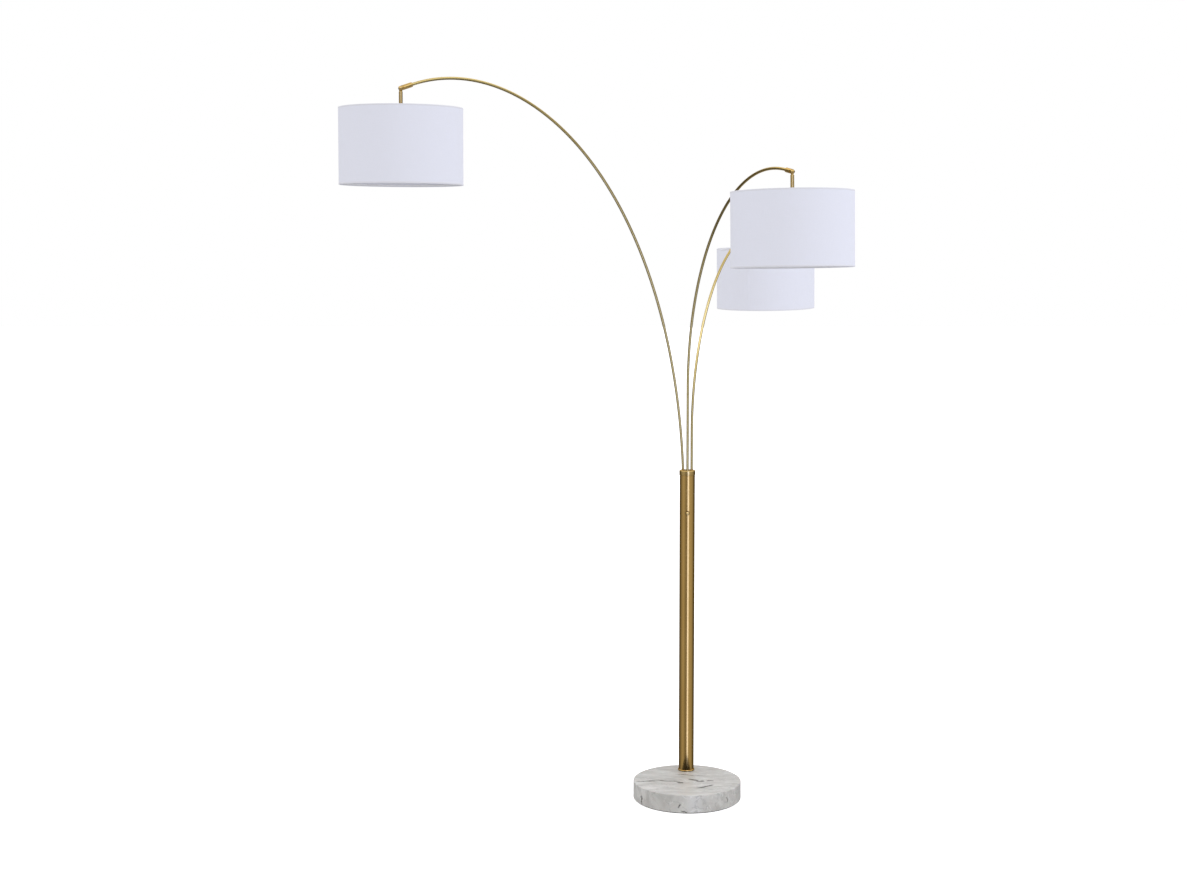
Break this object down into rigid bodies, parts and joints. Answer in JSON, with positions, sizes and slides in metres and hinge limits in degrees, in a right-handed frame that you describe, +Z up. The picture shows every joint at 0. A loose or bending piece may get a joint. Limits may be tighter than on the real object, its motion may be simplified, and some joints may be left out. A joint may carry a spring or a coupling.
{
  "type": "arc floor lamp",
  "caption": "Arc floor lamp: a marble disc foot, a slender brass pole and bent brass arms that swivel in its cap, each with a white drum shade that tilts on a knuckle.",
  "frame": {"origin": "on the felt pad's underside, where the pole's axis meets the floor, 109 mm behind the disc foot's centre", "axes": "+Z up along the pole; -Y is the side of the rotary switch; +X is to the right of someone facing the switch"},
  "size_m": [1.375, 1.6746, 2.1452],
  "materials": {
    "felt_pad": "dark pressed felt",
    "marble": "polished pale grey marble with soft grey clouds and fine dark veins",
    "plated_steel": "zinc-plated steel",
    "black_plastic": "black moulded plastic",
    "pole_brass": "satin brass, brushed round the pole",
    "arm_brass": "satin brass tube",
    "fitting_brass": "turned satin brass",
    "cable": "pale plastic insulation",
    "bulb_glass": "frosted glass",
    "white_wire": "white powder-coated wire",
    "shade_fabric": "white linen-like weave on a stiff backing"
  },
  "bodies": {
    "stand": {"base_felt_pad": "felt_pad", "marble_base": "marble", "base_washer": "plated_steel", "base_hex_nut": "plated_steel", "base_nipple": "plated_steel", "cord_bushing": "black_plastic", "pole_foot_collar": "pole_brass", "pole_foot_bush": "plated_steel", "pole_tube": "pole_brass", "pole_cap": "pole_brass", "arm_hub": "plated_steel", "switch_body": "black_plastic", "switch_nut": "fitting_brass", "switch_lead": "cable", "wire_splice": "black_plastic"},
    "switch_knob": {"switch_knob": "fitting_brass"},
    "left_arm": {"left_arm_tube": "arm_brass", "left_arm_wire": "cable", "left_swivel_washer": "black_plastic", "left_swivel_nut": "plated_steel", "left_arm_sleeve": "fitting_brass", "left_knuckle_pin": "fitting_brass"},
    "left_shade": {"left_drop_rod": "fitting_brass", "left_holder_cup": "fitting_brass", "left_lamp_holder": "black_plastic", "left_shade_ring_nut": "black_plastic", "left_bulb": "bulb_glass", "left_shade_spider": "white_wire", "left_shade_bottom_ring": "white_wire", "left_drum_shade": "shade_fabric"},
    "front_arm": {"front_arm_tube": "arm_brass", "front_arm_wire": "cable", "front_swivel_washer": "black_plastic", "front_swivel_nut": "plated_steel", "front_arm_sleeve": "fitting_brass", "front_knuckle_pin": "fitting_brass"},
    "front_shade": {"front_drop_rod": "fitting_brass", "front_holder_cup": "fitting_brass", "front_lamp_holder": "black_plastic", "front_shade_ring_nut": "black_plastic", "front_bulb": "bulb_glass", "front_shade_spider": "white_wire", "front_shade_bottom_ring": "white_wire", "front_drum_shade": "shade_fabric"},
    "rear_arm": {"rear_arm_tube": "arm_brass", "rear_arm_wire": "cable", "rear_swivel_washer": "black_plastic", "rear_swivel_nut": "plated_steel", "rear_arm_sleeve": "fitting_brass", "rear_knuckle_pin": "fitting_brass"},
    "rear_shade": {"rear_drop_rod": "fitting_brass", "rear_holder_cup": "fitting_brass", "rear_lamp_holder": "black_plastic", "rear_shade_ring_nut": "black_plastic", "rear_bulb": "bulb_glass", "rear_shade_spider": "white_wire", "rear_shade_bottom_ring": "white_wire", "rear_drum_shade": "shade_fabric"}
  },
  "joints": [
    {"name": "left_swivel", "type": "hinge", "parent": "stand", "child": "left_arm", "pos_m": [-0.01339, 0.00773, 1.004], "axis": [0, 0, 1], "range_deg": [-60, 20]},
    {"name": "front_swivel", "type": "hinge", "parent": "stand", "child": "front_arm", "pos_m": [0, -0.01546, 1.004], "axis": [0, 0, 1], "range_deg": [-15, 50]},
    {"name": "rear_swivel", "type": "hinge", "parent": "stand", "child": "rear_arm", "pos_m": [0.01339, 0.00773, 1.004], "axis": [0, 0, 1], "range_deg": [-40, 50]},
    {"name": "left_tilt", "type": "hinge", "parent": "left_arm", "child": "left_shade", "pos_m": [-0.77308, -0.76533, 2.10498], "axis": [-0.7133, 0.7009, 0], "range_deg": [-12.5, 29.5]},
    {"name": "front_tilt", "type": "hinge", "parent": "front_arm", "child": "front_shade", "pos_m": [0.2522, -0.74792, 1.88749], "axis": [-0.9455, -0.3256, 0], "range_deg": [-14, 28]},
    {"name": "rear_tilt", "type": "hinge", "parent": "rear_arm", "child": "rear_shade", "pos_m": [0.27273, 0.5768, 1.73105], "axis": [0.91, -0.4147, 0], "range_deg": [-13.5, 28.5]},
    {"name": "switch_turn", "type": "hinge", "parent": "stand", "child": "switch_knob", "pos_m": [0, 0, 0.873], "axis": [0, -1, 0], "continuous": true}
  ]
}
